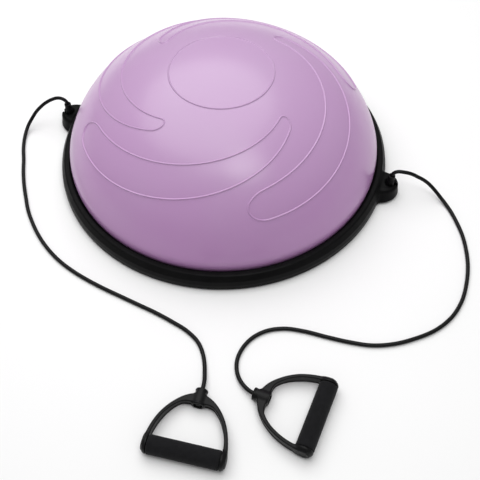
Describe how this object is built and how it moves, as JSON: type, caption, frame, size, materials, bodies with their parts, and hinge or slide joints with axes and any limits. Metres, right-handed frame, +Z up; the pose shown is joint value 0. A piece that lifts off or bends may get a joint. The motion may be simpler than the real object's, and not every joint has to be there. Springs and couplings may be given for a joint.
{
  "type": "balance dome trainer",
  "caption": "Inflated half-ball balance trainer on a round platform, with a stretch tube and a D handle hooked to a lug at each side.",
  "frame": {"origin": "centre of the platform on the floor plane, at the bottom face of the centre foot", "axes": "+Z up through the top of the dome; -Y towards the two handles lying in front; +X towards the side of the right tube"},
  "size_m": [0.7692, 0.8768, 0.211],
  "materials": {
    "dome_pvc": "inflated PVC skin, satin gloss",
    "base_plastic": "black moulded plastic, fine grain",
    "foot_rubber": "matte black rubber",
    "screw_steel": "zinc plated",
    "valve_rubber": "soft grey rubber",
    "valve_plastic": "white moulded plastic",
    "tube_rubber": "smooth black latex rubber",
    "stopper_rubber": "firm black rubber",
    "handle_plastic": "charcoal moulded plastic, satin",
    "core_plastic": "charcoal plastic tube",
    "cap_plastic": "charcoal moulded plastic",
    "grip_foam": "closed-cell foam, matte black"
  },
  "bodies": {
    "base": {"deck": "base_plastic", "rim_ring": "base_plastic", "dome_bladder": "dome_pvc", "clamp_screws": "screw_steel", "valve_seat": "valve_rubber", "centre_foot": "foot_rubber", "foot_1": "foot_rubber", "foot_2": "foot_rubber", "foot_3": "foot_rubber", "foot_4": "foot_rubber", "foot_5": "foot_rubber", "foot_6": "foot_rubber", "foot_7": "foot_rubber", "foot_8": "foot_rubber", "left_stopper": "stopper_rubber", "left_sleeve": "stopper_rubber", "left_tube": "tube_rubber", "right_stopper": "stopper_rubber", "right_sleeve": "stopper_rubber", "right_tube": "tube_rubber"},
    "valve": {"valve_plug": "valve_plastic"},
    "left_tip": {"left_tube_end": "tube_rubber", "left_end_plug": "stopper_rubber"},
    "left_handle": {"left_bow": "handle_plastic", "left_grip_core": "core_plastic", "left_grip_cap_a": "cap_plastic", "left_grip_cap_b": "cap_plastic"},
    "left_grip": {"left_foam_grip": "grip_foam"},
    "right_tip": {"right_tube_end": "tube_rubber", "right_end_plug": "stopper_rubber"},
    "right_handle": {"right_bow": "handle_plastic", "right_grip_core": "core_plastic", "right_grip_cap_a": "cap_plastic", "right_grip_cap_b": "cap_plastic"},
    "right_grip": {"right_foam_grip": "grip_foam"}
  },
  "joints": [
    {"name": "left_handle_lift", "type": "hinge", "parent": "base", "child": "left_tip", "pos_m": [-0.03916, -0.44745, 0.011], "axis": [-0.9973, 0.0737, 0], "range_deg": [0, 60]},
    {"name": "left_handle_swivel", "type": "hinge", "parent": "left_tip", "child": "left_handle", "pos_m": [-0.0425, -0.465, 0.0095], "axis": [-0.267, -0.9626, 0.0464], "continuous": true},
    {"name": "left_grip_spin", "type": "hinge", "parent": "left_handle", "child": "left_grip", "pos_m": [-0.06839, -0.55837, 0.014], "axis": [0.9636, -0.2672, 0], "continuous": true},
    {"name": "right_handle_lift", "type": "hinge", "parent": "base", "child": "right_tip", "pos_m": [0.01778, -0.46065, 0.01122], "axis": [-0.848, -0.53, 0], "range_deg": [0, 60]},
    {"name": "right_handle_swivel", "type": "hinge", "parent": "right_tip", "child": "right_handle", "pos_m": [0.032, -0.4725, 0.0095], "axis": [0.9053, -0.4222, 0.0464], "continuous": true},
    {"name": "right_grip_spin", "type": "hinge", "parent": "right_handle", "child": "right_grip", "pos_m": [0.11982, -0.51345, 0.014], "axis": [0.4226, 0.9063, 0], "continuous": true},
    {"name": "valve_plug_pull", "type": "slide", "parent": "base", "child": "valve", "axis": [0, 0, -1], "range_m": [0, 0.012]}
  ]
}
